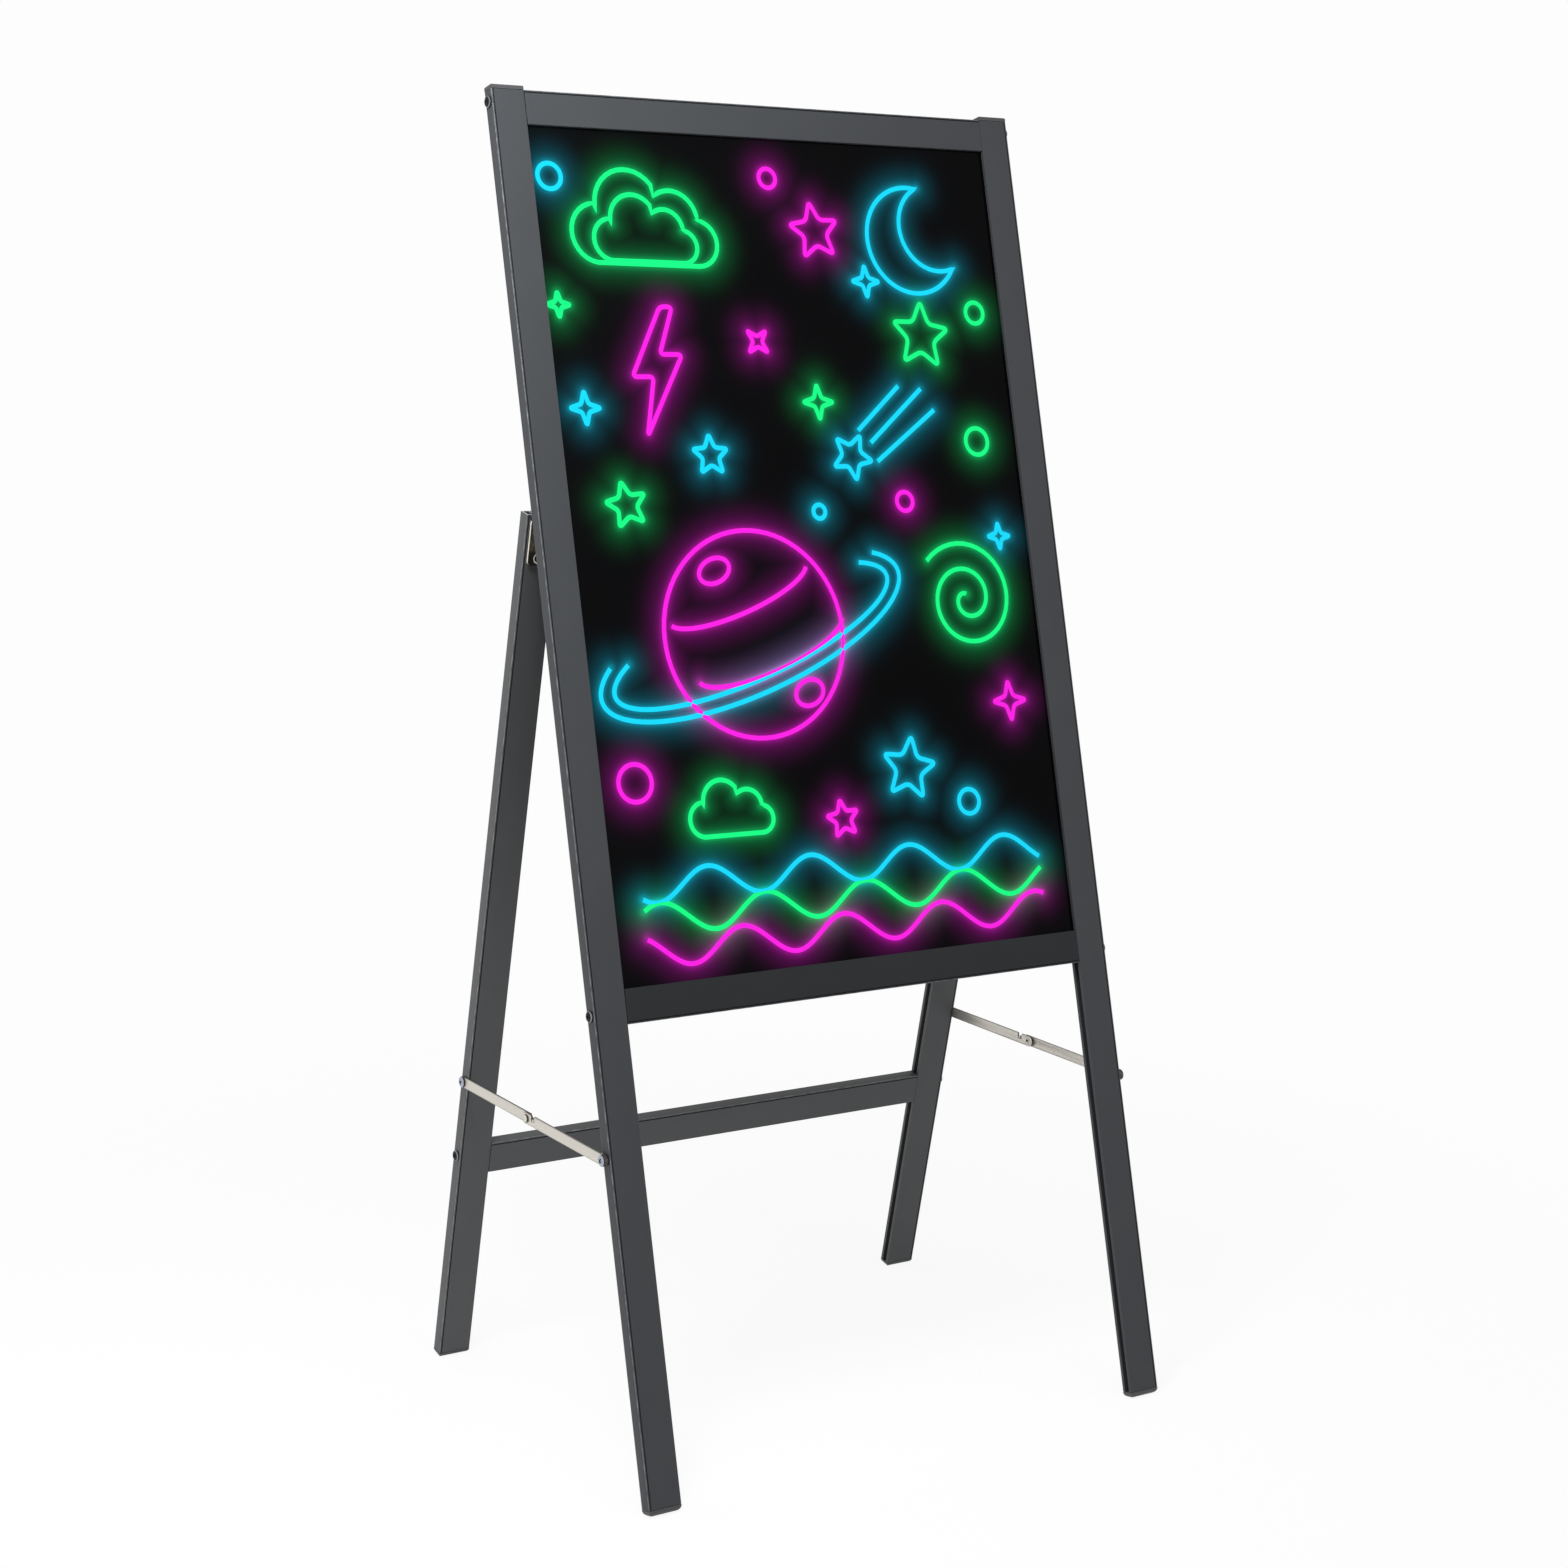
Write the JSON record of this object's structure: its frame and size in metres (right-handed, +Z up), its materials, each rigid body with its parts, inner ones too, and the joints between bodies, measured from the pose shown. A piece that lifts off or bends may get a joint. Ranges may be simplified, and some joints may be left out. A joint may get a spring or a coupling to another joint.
{
  "type": "led writing board",
  "caption": "Free-standing folding display board: a leaning slotted frame holds an edge-lit glossy writing panel, a shorter hinged rear frame stands behind it, and jointed stays lock it open.",
  "frame": {"origin": "on the ground, at the middle of the footprint of the open board", "axes": "+Z up, -Y toward the viewer that the writing panel faces, +X to that viewer's right"},
  "size_m": [0.4482, 0.3282, 0.9379],
  "materials": {
    "frame": "satin dark grey anodised",
    "cap": "satin moulded",
    "panel": "polished, backed in black",
    "backing": "matt",
    "light_tape": "white tape",
    "inlet": "moulded",
    "black_screw": "black zinc",
    "bright_screw": "bright zinc",
    "hinge": "nickel plated",
    "stay": "nickel plated"
  },
  "bodies": {
    "front_frame": {"front_stile_left": "frame", "front_stile_right": "frame", "top_rail": "frame", "bottom_rail": "frame", "rail_screw_bottom_left": "black_screw", "rail_screw_bottom_right": "black_screw", "rail_screw_top_left": "black_screw", "rail_screw_top_right": "black_screw", "stile_top_cap_left": "cap", "stile_top_cap_right": "cap", "foot_cap_front_left": "cap", "foot_cap_front_right": "cap", "writing_panel": "panel", "backing_board": "backing", "led_strip_left": "light_tape", "led_strip_right": "light_tape", "dc_inlet": "inlet", "hinge_leaf_front_left": "hinge", "hinge_leaf_front_right": "hinge", "hinge_pin_left": "hinge", "hinge_pin_right": "hinge", "hinge_screw_front_upper_left": "hinge", "hinge_screw_front_lower_left": "hinge", "hinge_screw_front_upper_right": "hinge", "hinge_screw_front_lower_right": "hinge", "stay_pivot_front_left": "bright_screw", "stay_pivot_front_right": "bright_screw"},
    "rear_frame": {"rear_leg_left": "frame", "rear_leg_right": "frame", "cross_rail": "frame", "cross_rail_screw_left": "black_screw", "cross_rail_screw_right": "black_screw", "foot_cap_rear_left": "cap", "foot_cap_rear_right": "cap", "hinge_leaf_rear_left": "hinge", "hinge_leaf_rear_right": "hinge", "hinge_screw_rear_upper_left": "hinge", "hinge_screw_rear_lower_left": "hinge", "hinge_screw_rear_upper_right": "hinge", "hinge_screw_rear_lower_right": "hinge"},
    "front_bar_left": {"stay_link_front_left": "stay", "stay_rivet_left": "stay"},
    "rear_bar_left": {"stay_link_rear_left": "stay", "stay_pivot_rear_left": "bright_screw"},
    "front_bar_right": {"stay_link_front_right": "stay", "stay_rivet_right": "stay"},
    "rear_bar_right": {"stay_link_rear_right": "stay", "stay_pivot_rear_right": "bright_screw"}
  },
  "joints": [
    {"name": "fold", "type": "hinge", "parent": "front_frame", "child": "rear_frame", "pos_m": [0, 0.02588, 0.6485], "axis": [-1, 0, 0], "range_deg": [0, 26]},
    {"name": "front_bar_left_turn", "type": "hinge", "parent": "front_frame", "child": "front_bar_left", "pos_m": [-0.2214, -0.09741, 0.22928], "axis": [1, 0, 0], "range_deg": [0, 68.26]},
    {"name": "rear_bar_left_turn", "type": "hinge", "parent": "front_bar_left", "child": "rear_bar_left", "pos_m": [-0.2199, 0.01258, 0.22808], "axis": [-1, 0, 0], "range_deg": [0, 170.19]},
    {"name": "front_bar_right_turn", "type": "hinge", "parent": "front_frame", "child": "front_bar_right", "pos_m": [0.2214, -0.09741, 0.22928], "axis": [1, 0, 0], "range_deg": [0, 68.26]},
    {"name": "rear_bar_right_turn", "type": "hinge", "parent": "front_bar_right", "child": "rear_bar_right", "pos_m": [0.2199, 0.01258, 0.22808], "axis": [-1, 0, 0], "range_deg": [0, 170.19]}
  ],
  "couplings": [
    {"joint": "front_bar_left_turn", "follows": "fold", "ratio": 2.6253},
    {"joint": "rear_bar_left_turn", "follows": "fold", "ratio": 6.5457},
    {"joint": "front_bar_right_turn", "follows": "fold", "ratio": 2.6253},
    {"joint": "rear_bar_right_turn", "follows": "fold", "ratio": 6.5457}
  ]
}
